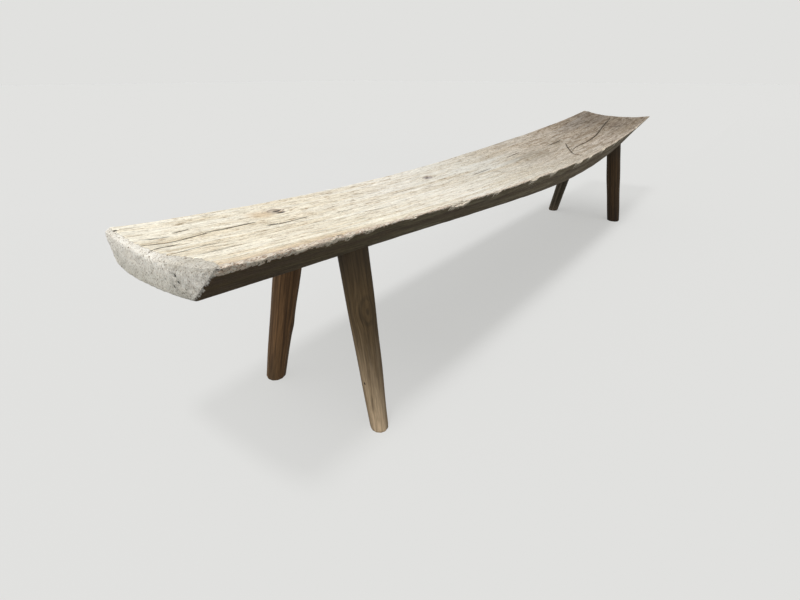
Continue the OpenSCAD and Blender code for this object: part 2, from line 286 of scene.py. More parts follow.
def facing(mesh):
    """The direction that each vertex of the mesh faces."""
    flat = np.zeros(len(mesh.vertices) * 3)
    mesh.vertex_normals.foreach_get("vector", flat)
    return flat.reshape(-1, 3)


def ripple(places, pitch, shift=0.0):
    """Soft noise between about -1 and 1, with a pitch in metres for each axis."""
    scaled = (places / np.array(pitch) + shift).tolist()
    return np.array([noise.noise(p) for p in scaled])


faces_to = facing(seat.data)
rim_rise = seat_height + bow(shape[:, 0], *front_bow)
below_rim = np.where(on_top, -from_side, np.where(on_underside, deep + from_side, from_top))
past_lip = np.where(on_end, ease_along + inward, ease_along - from_end) - 0.0006 * (1 - topness) * left_end


def oval_distance(places, x, y, long, wide):
    """How far each place is from the middle of an oval, seen from above. On its outline that is 1."""
    return np.hypot((places[:, 0] - x) / long, (places[:, 1] - y) / wide)


# Flow of the grain: it follows the bow of the log and parts round each knot, given by x, y, length and width.
# Three knots show, and a fourth, sunk in the wood, only turns the grain.
shown_knots = ((-0.833, 0.100, 0.030, 0.016), (-0.360, 0.087, 0.034, 0.014), (0.895, -0.050, 0.070, 0.022))
sunk_knot = (0.075, 0.012, 0.11, 0.030)
flow = np.column_stack([shape[:, 0], shape[:, 1], shape[:, 2] - rim_rise])
for knot in (*shown_knots, sunk_knot):
    flow[:, 1] -= (shape[:, 1] - knot[1]) * 0.75 * np.exp(-oval_distance(shape, *knot) ** 2 / 2)

# Drying cracks in the top, each a row of places on it and the width of its mouth. The corners of the row are
# rounded twice, and each place on the top keeps its distance from the nearest crack.
cracks = (
    (((-1.10, .056), (-1.07, .050), (-1.047, .049), (-1.005, .057), (-.985, .060)), 0.0014),
    (((-1.077, .078), (-1.041, .074)), 0.0010),
    (((-1.033, .085), (-1.005, .088)), 0.0010),
    (((-.995, .065), (-.96, .0635), (-.923, .066), (-.90, .066)), 0.0017),
    (((-1.099, .024), (-1.076, .032), (-1.045, .035)), 0.0014),
    (((-.898, .039), (-.881, .040)), 0.0009),
    (((-.902, .037), (-.87, .0335), (-.835, .036), (-.81, .038)), 0.0017),
    (((-.894, -.063), (-.867, -.070)), 0.0008),
    (((-.953, -.111), (-.917, -.133), (-.889, -.134)), 0.0009),
    (((-1.085, -.01), (-1.05, .002), (-1.0, .004)), 0.0008),
    (((-1.06, -.035), (-1.02, -.028), (-.98, -.03)), 0.0007),
    (((-.76, .02), (-.70, .022), (-.66, .019)), 0.0009),
    (((-.71, -.02), (-.62, -.024)), 0.0008),
    (((-.55, .05), (-.47, .047)), 0.0009),
    (((-.25, .02), (-.12, .024)), 0.0012),
    (((.05, .06), (.16, .064)), 0.0014),
    (((1.075, .022), (1.047, .014), (.93, -.002), (.822, -.016), (.657, -.044), (.54, -.056), (.45, -.055),
      (.37, -.055), (.285, -.07)), 0.0028),
    (((.477, .074), (.508, .069)), 0.0030),
    (((.43, .002), (.36, -.03), (.32, -.05), (.27, -.075), (.245, -.09), (.21, -.125), (.19, -.152)), 0.0022),
    (((.86, -.031), (.838, -.061), (.891, -.075)), 0.0026),
    (((.875, .095), (.905, .08), (.90, .052)), 0.0026),
    (((.33, .035), (.40, .03), (.47, .034)), 0.0022),
)
crack_away = np.full(len(shape), 1.0)
crack_open = np.zeros(len(shape))
for line, mouth in cracks:
    points = np.array(line)
    for _ in range(2 if len(points) > 2 else 0):
        first, second = points[:-1] * 0.75 + points[1:] * 0.25, points[:-1] * 0.25 + points[1:] * 0.75
        inner = np.stack([first, second], 1).reshape(-1, 2)
        points = np.vstack([points[:1], inner[1:-1], points[-1:]])
    steps = np.linalg.norm(np.diff(points, axis=0), axis=1)
    total = steps.sum()
    run = 0.0
    for start, stop, step in zip(points[:-1], points[1:], steps):
        way = (stop - start) / step
        offset = shape[:, :2] - start
        share = np.clip(offset @ way, 0, step)
        nearest = offset - share[:, None] * way
        distance = np.linalg.norm(nearest, axis=1)
        side = np.sign(way[0] * offset[:, 1] - way[1] * offset[:, 0])
        along_line = (run + share) / total
        taper = np.clip(np.minimum(along_line, 1 - along_line) * 5, 0, 1) ** 0.5
        closer = (distance < np.abs(crack_away)) & on_top
        crack_away = np.where(closer, side * distance, crack_away)
        opening = taper * mouth * (1 - smooth_step(0.006, 0.010, distance))
        crack_open = np.where(closer, opening, crack_open)
        run += step

# Chips and splinters torn from the front rim: x, half the length, and the depth of each.
chips = (
    (-0.925, 0.009, 0.004), (-0.893, 0.010, 0.005), (-1.04, 0.012, 0.0035), (-0.98, 0.010, 0.003),
    (-0.85, 0.010, 0.004), (-0.75, 0.014, 0.003), (-0.60, 0.036, 0.0075), (-0.45, 0.02, 0.0035),
    (-0.256, 0.026, 0.0065), (-0.12, 0.024, 0.005), (0.09, 0.034, 0.0075), (0.195, 0.024, 0.0065),
    (0.34, 0.026, 0.007), (0.50, 0.02, 0.004), (0.826, 0.026, 0.0065),
)
chip_depth = np.zeros(len(shape))
for chip_x, chip_long, chip_deep in chips:
    bite = 1 - ((shape[:, 0] - chip_x) / chip_long) ** 2
    chip_depth = np.maximum(chip_depth, chip_deep * np.sqrt(np.clip(bite, 0, 1)))
ragged = ragged_line(shape[:, 0], 95, 0.3, 8)
ragged_slow = ragged_line(shape[:, 0], 17, 2.3, 4)
torn = np.clip(chip_depth / 0.004, 0, 1)
chip_depth = chip_depth * (1 + 0.5 * ragged) + 0.0012 * np.clip(ragged + ragged_slow, 0, 1)
front_side = shape[:, 1] < 0
near_rim = front_side * np.exp(-(below_rim / np.where(below_rim < 0, 0.009, 0.0065)) ** 2)
top_face = np.clip(faces_to[:, 2], 0, 1) ** 0.5
under_face = np.clip(-faces_to[:, 2] - 0.3, 0, 1)
end_face = smooth_step(-0.002, 0.003, past_lip)
fuzz = smooth_step(-0.026, -0.012, below_rim) * smooth_step(0.020, 0.010, below_rim) * front_side
fuzz = fuzz * (0.25 + 0.75 * smooth_step(-0.45, -0.95, shape[:, 0]))
back_fuzz = np.clip(1 - np.abs(below_rim + 0.004) / 0.014, 0, 1) * ~front_side * smooth_step(0.9, -0.4, shape[:, 0])

# Relief: how high it stands, what it follows, its pitch along each axis, its shift, and where it shows.
reliefs = (
    (0.0011, shape, (0.16, 0.05, 0.05), 0, 0.4 + 0.6 * top_face),  # hewing
    (0.00035, flow, (0.050, 0.0042, 0.0042), 3.7, 1 - end_face),  # fine fibres
    (0.0005, flow, (0.12, 0.011, 0.011), 9.1, 1 - end_face),  # coarse fibres
    (0.0026, shape, (0.0105, 0.0060, 0.0060), 1.3, fuzz),  # torn tufts
    (0.0016, shape, (0.0060, 0.0030, 0.0030), 4.9, fuzz),  # finer tufts
    (0.0008, shape, (0.012, 0.005, 0.006), 6.3, back_fuzz),  # rough back rim
    (0.0007, shape, (0.0055, 0.0055, 0.0055), 0, end_face),  # sawn grit
    (0.0007, shape, (0.013, 0.013, 0.013), 0, end_face),  # sawn hollows
)
height = np.zeros(len(shape))
for tall, follows, pitch, shift, where in reliefs:
    height += tall * where * ripple(follows, pitch, shift)
crack_groove = np.clip(crack_open / 0.0016, 0, 2) * np.exp(-(crack_away / 0.0022) ** 2)
lip_ridge = smooth_step(0.002, -0.001, past_lip) * smooth_step(-0.03, -0.004, past_lip)
adze_marks = np.abs(ripple(shape, (0.09, 0.055, 0.09), 2.2))
height += 0.0012 * top_face * (lip_ridge - crack_groove) + 0.0016 * under_face * adze_marks
height -= 0.9 * near_rim * chip_depth
# Each shown knot stands up as a ring with a hollow in its middle.
for knot in shown_knots:
    away = oval_distance(shape, *knot)
    height += 0.0012 * top_face * (np.exp(-((away - 0.75) / 0.3) ** 2) - np.exp(-(away / 0.4) ** 2))

# Pits: x, y, length, width and depth on the top, and y, z and size on the left end.
pits = (
    (-0.828, 0.104, 0.008, 0.0035, 0.004), (-0.832, 0.088, 0.007, 0.003, 0.003),
    (-1.091, 0.130, 0.0035, 0.0035, 0.003), (-0.357, 0.090, 0.006, 0.003, 0.002),
    (-0.351, 0.082, 0.005, 0.003, 0.002),
)
for *pit, pit_deep in pits:
    height -= pit_deep * top_face * np.exp(-oval_distance(shape, *pit) ** 2)
end_pits = ((-0.045, 0.384, 0.0028), (-0.050, 0.3755, 0.0022), (-0.0365, 0.366, 0.0024), (-0.017, 0.372, 0.0016))
for pit_y, pit_z, pit_size in end_pits:
    away = ((shape[:, 1] - pit_y) ** 2 + (shape[:, 2] - pit_z) ** 2) / pit_size ** 2
    height -= 0.002 * np.exp(-away) * (shape[:, 0] < -1.05)
shape = shape + faces_to * height[:, None]
seat.data.vertices.foreach_set("co", shape.ravel())
seat.data.update()
bpy.ops.object.select_all(action="DESELECT")
seat.select_set(True)
bpy.context.view_layer.objects.active = seat
bpy.ops.object.shade_smooth()


def keep_values(piece, name, values):
    """Stores one number or one vector for each vertex, for the piece's material to read."""
    kind = "FLOAT_VECTOR" if values.ndim == 2 else "FLOAT"
    layer = piece.data.attributes.new(name, kind, "POINT")
    layer.data.foreach_set("vector" if values.ndim == 2 else "value", values.ravel())


keep_values(seat, "grain", flow)
keep_values(seat, "below_rim", below_rim)
keep_values(seat, "past_lip", past_lip)
upward = np.clip(facing(seat.data)[:, 2], 0, 1)
keep_values(seat, "crack", np.column_stack([crack_away, crack_open, upward]))
knot_away = np.min([oval_distance(shape, *knot) for knot in shown_knots], axis=0)
keep_values(seat, "wear", np.column_stack([torn, knot_away, 0 * torn]))


def put_node(tree, kind, sockets=None, **settings):
    """Adds a node, with its settings and what each of its sockets is given or linked to."""
    made = tree.nodes.new(kind)
    for name, value in settings.items():
        setattr(made, name, value)
    for name, value in (sockets or {}).items():
        if isinstance(value, bpy.types.NodeSocket):
            tree.links.new(value, made.inputs[name])
        else:
            made.inputs[name].default_value = value
    return made


def maths(tree, work, first, second=0.0):
    return put_node(tree, "ShaderNodeMath", {0: first, 1: second}, operation=work).outputs[0]


def times(tree, product, *values):
    for value in values:
        product = maths(tree, "MULTIPLY", product, value)
    return product


def plus(tree, total, *values):
    for value in values:
        total = maths(tree, "ADD", total, value)
    return total


def sway(tree, noise_value, reach):
    """Noise moved to lie about zero, so that it pushes an edge or a tone both ways."""
    return times(tree, maths(tree, "SUBTRACT", noise_value, 0.5), reach)


def ramp_between(tree, value, low, high, out_low=0.0, out_high=1.0):
    """A soft step from one value to another."""
    made = put_node(
        tree, "ShaderNodeMapRange",
        {"Value": value, "From Min": low, "From Max": high, "To Min": out_low, "To Max": out_high},
        interpolation_type="SMOOTHSTEP")
    return made.outputs["Result"]


def vectors(tree, work, first, second=(0, 0, 0)):
    """One vector worked on by another. A length and a dot product come out as numbers."""
    made = put_node(tree, "ShaderNodeVectorMath", {0: first, 1: second}, operation=work)
    return made.outputs["Value" if work in ("LENGTH", "DOT_PRODUCT") else "Vector"]


def apart(tree, vector):
    """The three numbers of a vector."""
    return tuple(put_node(tree, "ShaderNodeSeparateXYZ", {0: vector}).outputs)


def kept(tree, name, output="Fac"):
    """A number or a vector that the mesh keeps for its material."""
    return put_node(tree, "ShaderNodeAttribute", attribute_name=name).outputs[output]


def own_place(tree):
    return put_node(tree, "ShaderNodeTexCoord").outputs["Object"]


def soft_noise(tree, vector, pitch, detail=3.0, rough=0.55, warp=0.0):
    """Noise with a pitch in metres, one for each axis or the same for all."""
    pitch = pitch if isinstance(pitch, tuple) else (pitch,) * 3
    sized = vectors(tree, "MULTIPLY", vector, [1 / p for p in pitch])
    made = put_node(
        tree, "ShaderNodeTexNoise",
        {"Vector": sized, "Scale": 1.0, "Detail": detail, "Roughness": rough, "Distortion": warp})
    return made.outputs["Fac"]


def oval(tree, vector, middle, reach):
    """The distance from the middle of an oval, 1 on its outline. An axis whose reach is 0 doesn't count."""
    moved = vectors(tree, "ADD", vector, [-m for m in middle])
    return vectors(tree, "LENGTH", vectors(tree, "MULTIPLY", moved, [1 / r if r else 0 for r in reach]))


def blend_colour(tree, share, first, second, way="MIX"):
    made = put_node(tree, "ShaderNodeMix", data_type="RGBA", blend_type=way)
    for place, value in ((0, share), (6, first), (7, second)):
        if isinstance(value, bpy.types.NodeSocket):
            tree.links.new(value, made.inputs[place])
        elif place:
            made.inputs[place].default_value = (*value, 1)
        else:
            made.inputs[place].default_value = value
    return made.outputs[2]


def multiply_tones(tree, colour, tone_layers):
    """A colour with tones multiplied into it, each with the share that it covers and its tone: stains, fibre greys, and
    on the end grain a painted shade.
    """
    for share, tone in tone_layers:
        colour = blend_colour(tree, share, colour, tone, "MULTIPLY")
    return colour


def grey(tree, value):
    return put_node(tree, "ShaderNodeCombineColor", {0: value, 1: value, 2: value}).outputs[0]


def colours_along(tree, value, stops):
    made = put_node(tree, "ShaderNodeValToRGB", {"Fac": value})
    ramp = made.color_ramp
    while len(ramp.elements) < len(stops):
        ramp.elements.new(0.5)
    for element, (where, colour) in zip(ramp.elements, stops):
        element.position = where
        element.color = (*colour, 1)
    return made.outputs["Color"]


# Weathered fibre, shared by the seat, the legs and the wedges: streaks, fine fibres, short dark checks and
# slow blotches, all drawn out along the grain.
fibre = bpy.data.node_groups.new("wood fibre", "ShaderNodeTree")
fibre.interface.new_socket("Grain", in_out="INPUT", socket_type="NodeSocketVector")
for name in ("Streak", "Fibre", "Check", "Blotch"):
    fibre.interface.new_socket(name, in_out="OUTPUT", socket_type="NodeSocketFloat")
grain_in = put_node(fibre, "NodeGroupInput").outputs["Grain"]
put_node(fibre, "NodeGroupOutput", {
    "Streak": soft_noise(fibre, grain_in, (0.45, 0.014, 0.014), 5, 0.6, 0.4),
    "Fibre": soft_noise(fibre, grain_in, (0.05, 0.0022, 0.0022), 3, 0.65, 0.2),
    "Check": ramp_between(fibre, soft_noise(fibre, grain_in, (0.045, 0.0045, 0.0045), 4, 0.6, 0.3), 0.60, 0.70),
    "Blotch": soft_noise(fibre, grain_in, (0.30, 0.09, 0.09), 4, 0.55, 0.8),
})


def wood_fibre(tree, vector):
    """The streak, fibre, check and blotch of a grain."""
    return tuple(put_node(tree, "ShaderNodeGroup", {"Grain": vector}, node_tree=fibre).outputs)


# Rings about a knot, shared by the seat and the legs. They wander with the streaks, are dark where their wave
# is above a low mark, and fade in from an outer to an inner distance from the knot.
rings = bpy.data.node_groups.new("knot rings", "ShaderNodeTree")
for name in ("Distance", "Streak", "Rings", "Wander", "Low", "Outer", "Inner"):
    rings.interface.new_socket(name, in_out="INPUT", socket_type="NodeSocketFloat")
rings.interface.new_socket("Mask", in_out="OUTPUT", socket_type="NodeSocketFloat")
ring_in = put_node(rings, "NodeGroupInput").outputs
ring_way = plus(
    rings, times(rings, ring_in["Distance"], ring_in["Rings"]), times(rings, ring_in["Streak"], ring_in["Wander"]))
ring_mask = times(
    rings, ramp_between(rings, maths(rings, "SINE", ring_way), ring_in["Low"], 0.9),
    ramp_between(rings, ring_in["Distance"], ring_in["Outer"], ring_in["Inner"]))
put_node(rings, "NodeGroupOutput", {"Mask": ring_mask})


def knot_rings(tree, sockets):
    return put_node(tree, "ShaderNodeGroup", sockets, node_tree=rings).outputs["Mask"]


def bare_material(name, roughness):
    """A new material of bare wood, with its tree and its shader."""
    made = bpy.data.materials.new(name)
    made.use_nodes = True
    shader = made.node_tree.nodes["Principled BSDF"]
    shader.inputs["Roughness"].default_value = roughness
    shader.inputs["Specular IOR Level"].default_value = 0.25
    return made, made.node_tree, shader


def dress(tree, shader, colour, height, strength, depth):
    """Gives the shader its colour and its relief, of a depth in metres."""
    tree.links.new(colour, shader.inputs["Base Color"])
    bump = put_node(tree, "ShaderNodeBump", {"Strength": strength, "Distance": depth, "Height": height})
    tree.links.new(bump.outputs["Normal"], shader.inputs["Normal"])


seat_finish, tree, shader = bare_material("weathered plank", 0.88)
grain = kept(tree, "grain", "Vector")
below = kept(tree, "below_rim")
lip_way = kept(tree, "past_lip")
crack_off, crack_mouth, facing_up = apart(tree, kept(tree, "crack", "Vector"))
torn_share, knot_off, _ = apart(tree, kept(tree, "wear", "Vector"))
here = own_place(tree)
seat_x, seat_y, seat_z = apart(tree, here)
streak, fine, check, blotch = wood_fibre(tree, grain)
grit = soft_noise(tree, here, (0.0045, 0.003, 0.003), 4, 0.65)
along_share = maths(tree, "DIVIDE", plus(tree, seat_x, half_length), seat_length)

# Bleached top: cream at the left, a bluish white past it, then taupe towards the right end.
top_colour = colours_along(tree, plus(tree, along_share, sway(tree, blotch, 0.22)), (
    (0.02, (0.98, 0.925, 0.785)), (0.14, (0.97, 0.925, 0.80)), (0.27, (0.90, 0.865, 0.78)),
    (0.38, (0.80, 0.765, 0.68)), (0.47, (0.75, 0.715, 0.64)), (0.60, (0.68, 0.62, 0.54)),
    (0.78, (0.59, 0.525, 0.45)), (0.93, (0.40, 0.345, 0.285)),
))
fine_shade = times(
    tree, ramp_between(tree, fine, 0.35, 0.68, 1.13, 0.80), ramp_between(tree, grit, 0.34, 0.66, 1.10, 0.86))
check_share = times(tree, check, ramp_between(tree, blotch, 0.36, 0.60, 0.30, 0.95))
dash = soft_noise(tree, grain, (0.026, 0.0026, 0.0026), 3, 0.62, 0.3)
dash_share = times(
    tree, ramp_between(tree, dash, 0.57, 0.63), ramp_between(tree, streak, 0.40, 0.56, 0.45, 1.0), 0.92)
far_streak = soft_noise(tree, grain, (0.11, 0.013, 0.013), 5, 0.72, 0.6)
far_share = times(
    tree, ramp_between(tree, far_streak, 0.47, 0.60), ramp_between(tree, along_share, 0.42, 0.70, 0.0, 0.85))
coarse = soft_noise(tree, grain, (0.032, 0.012, 0.012), 4, 0.7, 0.5)
coarse_share = times(
    tree, ramp_between(tree, coarse, 0.50, 0.62), ramp_between(tree, along_share, 0.35, 0.65, 0.12, 0.60))
top_colour = multiply_tones(tree, top_colour, (
    (ramp_between(tree, streak, 0.38, 0.66, 0.0, 0.40), (0.68, 0.56, 0.38)),
    (1.0, grey(tree, fine_shade)),
    (check_share, (0.40, 0.30, 0.19)),
    (dash_share, (0.39, 0.275, 0.165)),
    (far_share, (0.56, 0.51, 0.45)),
    (coarse_share, (0.58, 0.53, 0.46)),
    (ramp_between(tree, grit, 0.60, 0.70, 0.0, 0.5), (0.55, 0.45, 0.33)),
))


def patch(x, y, long, wide, core=0.4, ragged=1.2):
    """A soft oval patch on the top, 1 within its core and 0 outside."""
    away = oval(tree, here, (x, y, 0), (long, wide, 0))
    return ramp_between(tree, plus(tree, away, sway(tree, streak, ragged)), 1.0, core)


# Patches on the top: brown by the near knot, dark and rough past the middle, pale and grey further along, and
# dark about the knots. Each has its place, size, core and raggedness, then its strength, tone and way.
rough_strength = ramp_between(tree, fine, 0.38, 0.60, 0.45, 0.80)
for oval_patch, strength, tone, way in (
    ((-0.868, 0.092, 0.040, 0.030, 0.1, 2.4), 0.55, (0.60, 0.41, 0.22), "MIX"),
    ((0.12, 0.008, 0.20, 0.055, 0.1, 3.2), rough_strength, (0.31, 0.262, 0.195), "MIX"),
    ((0.50, -0.095, 0.24, 0.055, 0.1, 1.6), 1.0, (1.20, 1.21, 1.25), "MULTIPLY"),
    ((0.86, 0.085, 0.38, 0.100, 0.1, 2.0), 1.0, (0.78, 0.78, 0.79), "MULTIPLY"),
    ((-0.13, 0.045, 0.20, 0.060, 0.1, 3.2), 0.32, (0.80, 0.81, 0.78), "MIX"),
    ((0.40, 0.02, 0.12, 0.06, 0.1, 2.6), 0.20, (0.30, 0.26, 0.19), "MIX"),
    ((0.895, -0.050, 0.095, 0.03, 0.2, 1.8), 0.45, (0.20, 0.165, 0.13), "MIX"),
    ((-0.358, 0.086, 0.024, 0.013), 0.80, (0.30, 0.26, 0.26), "MIX"),
    ((-0.834, 0.099, 0.024, 0.020, 0.4, 1.8), 0.50, (0.46, 0.36, 0.29), "MIX"),
):
    top_colour = blend_colour(tree, times(tree, patch(*oval_patch), strength), top_colour, tone, way)
ring_mask = knot_rings(tree, {
    "Distance": knot_off, "Streak": streak, "Rings": 17.0, "Wander": 9.0, "Low": 0.1, "Outer": 1.35, "Inner": 0.5})
top_colour = blend_colour(tree, times(tree, ring_mask, 0.62), top_colour, (0.24, 0.18, 0.14))
for spot in (
    (-0.828, 0.104, 0.011, 0.0035), (-0.831, 0.088, 0.012, 0.004), (-0.842, 0.095, 0.006, 0.0025),
    (-1.091, 0.130, 0.004, 0.003), (-0.357, 0.090, 0.008, 0.003),
):
    top_colour = blend_colour(tree, times(tree, patch(*spot, 0.6), 0.9), top_colour, (0.045, 0.035, 0.03))

# Torn fibres along the front rim, pink and beige, widest near the left end. Their pale tones are brightened with
# painted light, as the rim rolls down away from the lamp, and further right the thin band is a painted highlight along
# the rim.
band_edge = ramp_between(tree, seat_x, -1.06, -0.50, -0.024, -0.010)
ragged_below = plus(tree, below, sway(tree, soft_noise(tree, here, (0.02, 0.012, 0.012), 4, 0.6), 0.02))
front_only = ramp_between(tree, seat_y, 0.0, -0.05)
band = times(
    tree, ramp_between(tree, maths(tree, "SUBTRACT", ragged_below, band_edge), -0.002, 0.003), front_only,
    ramp_between(tree, seat_x, 0.3, -0.8, 0.55, 0.97), ramp_between(tree, seat_x, 0.75, 1.05, 1.0, 0.4))
tufts = soft_noise(tree, here, (0.0062, 0.0036, 0.0036), 4, 0.72, 1.4)
# Painted light: the torn tones run up to near white, paler than the wood, standing for the lamp's light on the rolled
# rim.
torn_and_lit_colour = colours_along(tree, tufts, (
    (0.375, (0.17, 0.10, 0.06)), (0.435, (0.72, 0.54, 0.40)), (0.505, (1.0, 0.87, 0.71)), (0.60, (1.0, 0.95, 0.84))))
wash = times(
    tree, ramp_between(tree, ragged_below, -0.065, -0.015), ramp_between(tree, seat_x, -0.78, -0.92),
    front_only, 0.95)
# Painted highlight: a cream line just inside the front rim at each chip, standing also for its pale splinters.
splinter_highlight = times(tree, torn_share, front_only, ramp_between(tree, below, -0.008, -0.001), 0.75)
top_colour = multiply_tones(tree, top_colour, ((wash, (0.82, 0.69, 0.55)),))
top_colour = blend_colour(tree, band, top_colour, torn_and_lit_colour)
top_colour = blend_colour(tree, splinter_highlight, top_colour, (0.95, 0.87, 0.71))

# Cracks read their distance and their width from the mesh.
open_mouth = times(tree, crack_mouth, ramp_between(tree, fine, 0.3, 0.7, 0.8, 2.1))
crack_share = maths(tree, "DIVIDE", maths(tree, "ABSOLUTE", crack_off), maths(tree, "MAXIMUM", open_mouth, 0.00001))
crack_mask = ramp_between(tree, crack_share, 1.0, 0.35)
top_colour = blend_colour(tree, times(tree, crack_mask, 0.88), top_colour, (0.07, 0.055, 0.035))

# Dark, stained flanks and underside, with a reddish black streak along the middle of the edge.
flank_streak = soft_noise(tree, grain, (0.16, 0.009, 0.009), 6, 0.66, 0.9)
flank_colour = colours_along(tree, along_share, (
    (0.0, (0.108, 0.076, 0.032)), (0.2, (0.235, 0.205, 0.134)), (0.65, (0.315, 0.268, 0.190)),
    (1.0, (0.36, 0.325, 0.26))))
flank_colour = multiply_tones(
    tree, flank_colour, ((ramp_between(tree, flank_streak, 0.36, 0.66, 0.0, 0.85), (0.50, 0.44, 0.36)),))
middle = plus(tree, below, sway(tree, flank_streak, 0.05))
middle_band = times(tree, ramp_between(tree, middle, 0.020, 0.032), ramp_between(tree, middle, 0.050, 0.036), 0.5)
low_band = ramp_between(tree, middle, 0.052, 0.064, 0.0, 0.35)
flank_colour = blend_colour(tree, middle_band, flank_colour, (0.085, 0.055, 0.038))
flank_colour = blend_colour(tree, low_band, flank_colour, (0.085, 0.06, 0.042))
flank_fine = times(
    tree, ramp_between(tree, fine, 0.35, 0.68, 1.28, 0.76), ramp_between(tree, grit, 0.34, 0.66, 1.15, 0.85))
flank_colour = multiply_tones(tree, flank_colour, ((1.0, grey(tree, flank_fine)),))

# The pale top runs a little way down over the front edge, in a fringe that is longest where it is torn.
fringe_fine = soft_noise(tree, here, (0.0052, 0.009, 0.009), 4, 0.7)
fringe_slow = soft_noise(tree, here, (0.035, 0.2, 0.2), 2, 0.5)
fringe = plus(
    tree, ramp_between(tree, seat_x, -0.95, -0.79, 0.0125, 0.0035),
    times(tree, torn_share, ramp_between(tree, seat_x, -0.8, -0.62, 0.005, 0.012)),
    ramp_between(tree, seat_x, -1.0, -1.09, 0.0, 0.005),
    sway(tree, fringe_fine, plus(tree, times(tree, torn_share, 0.045), 0.022)), sway(tree, fringe_slow, 0.016))
flank_mask = ramp_between(tree, maths(tree, "SUBTRACT", below, fringe), -0.0008, 0.0010)
colour = blend_colour(tree, flank_mask, top_colour, flank_colour)

# Bare end grain: grey, mottled, stippled with open pores, and darker towards its lower edge.
pores = soft_noise(tree, here, 0.0027, 3, 0.78)
cloud = soft_noise(tree, here, 0.03, 4, 0.6)
mottle = soft_noise(tree, here, 0.0065, 4, 0.72)
end_colour = colours_along(tree, pores, (
    (0.362, (0.24, 0.20, 0.155)), (0.422, (0.86, 0.80, 0.70)), (0.50, (1.0, 0.955, 0.865)), (0.62, (1.0, 0.985, 0.92))))
# Painted shade: the end grain is darkened where its worn lip faces upwards, most towards the front.
painted_lip_shade = times(
    tree, ramp_between(tree, facing_up, 0.15, 0.75), ramp_between(tree, seat_y, 0.02, -0.04, 0.25, 1.0))
end_colour = multiply_tones(tree, end_colour, (
    (ramp_between(tree, mottle, 0.50, 0.58, 0.0, 0.55), (0.74, 0.72, 0.70)),
    (ramp_between(tree, plus(tree, seat_z, sway(tree, cloud, 0.05)), 0.386, 0.352, 0.0, 0.68), (0.66, 0.665, 0.64)),
    (ramp_between(tree, cloud, 0.47, 0.60, 0.0, 0.28), (0.80, 0.75, 0.67)),
    (painted_lip_shade, (0.70, 0.695, 0.68)),
    (ramp_between(tree, seat_x, -1.0, 1.0), (0.42, 0.40, 0.36)),
))
for pit_y, pit_z, pit_size in end_pits:
    away = oval(tree, here, (0, pit_y, pit_z), (0, pit_size, 1.25 * pit_size))
    pit_share = ramp_between(tree, plus(tree, away, sway(tree, pores, 1.2)), 1.0, 0.65, 0.0, 0.93)
    end_colour = blend_colour(tree, pit_share, end_colour, (0.035, 0.03, 0.022))
ragged_lip = sway(tree, soft_noise(tree, here, 0.006, 4, 0.7), 0.012)
end_mask = ramp_between(tree, plus(tree, lip_way, ragged_lip), -0.0006, 0.0010)
colour = blend_colour(tree, end_mask, colour, end_colour)

relief = plus(
    tree, times(tree, fine, 0.35), times(tree, streak, 0.5), times(tree, check, -0.5), times(tree, crack_mask, -1.2),
    times(tree, tufts, band, 3.0), times(tree, pores, end_mask, 1.2))
dress(tree, shader, colour, relief, 0.9, 0.0016)
seat.data.materials.append(seat_finish)
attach(seat, "root")
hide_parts("seat_slab")


# Legs: four round legs split from brown hardwood and shaved to a taper. Each is driven up into a blind
# hole in the plank's underside, splayed outwards, and stands on its worn end.
leg_sides = 96
leg_rings = 90
leg_into_seat = 0.012
leg_below_floor = 0.012
leg_swell = 0.001
wrap_radius = 0.022
sole_worn_up = 0.004
sole_worn_in = 0.10
legs = (
    # name, node, foot, where its middle meets the plank, foot and top diameters
    ("shaved_leg_front_left", "leg_front_left", (-0.8406, -0.1470), (-0.8190, -0.0785, 0.3428), 0.034, 0.056),
    ("shaved_leg_front_right", "leg_front_right", (0.8480, -0.1396), (0.8230, -0.0785, 0.3290), 0.050, 0.056),
    ("shaved_leg_back_left", "leg_back_left", (-0.8607, 0.1432), (-0.8240, 0.0785, 0.3269), 0.041, 0.056),
    ("shaved_leg_back_right", "leg_back_right", (0.8510, 0.1472), (0.8230, 0.0785, 0.3407), 0.042, 0.050),
)
leg_tones = {
    # dark and light streaks, foot (worn, and on the front right leg a near-black painted shade), how high the foot's
    # tone reaches, and how far the top is darkened
    "leg_front_left": ((0.068, 0.043, 0.018), (0.143, 0.095, 0.047), (0.65, 0.49, 0.32), 0.200, 0.6),
    "leg_front_right": ((0.034, 0.019, 0.007), (0.074, 0.042, 0.018), (0.008, 0.004, 0.002), 0.10, 0.6),
    "leg_back_left": ((0.082, 0.043, 0.018), (0.205, 0.112, 0.049), (0.135, 0.084, 0.040), 0.09, 0.0),
    "leg_back_right": ((0.038, 0.029, 0.017), (0.105, 0.083, 0.056), (0.19, 0.142, 0.098), 0.02, 0.6),
}
leg_knots = {
    # height, degrees round the leg, length and width; the small second one is a hole
    "leg_front_left": ((0.256, -114, 0.022, 0.011), (0.116, 178, 0.0035, 0.0022)),
    "leg_back_left": ((0.16, -60, 0.02, 0.008),),
}


def round_leg_distance(knot, height_up, turn_at, radius):
    """How far each place on a leg is from the middle of a knot. On the knot's outline that is 1."""
    knot_up, knot_turn, knot_long, knot_wide = knot
    off_turn = (turn_at - math.radians(knot_turn) + math.pi) % (2 * math.pi) - math.pi
    return np.hypot((height_up - knot_up) / knot_long, off_turn * radius / knot_wide)


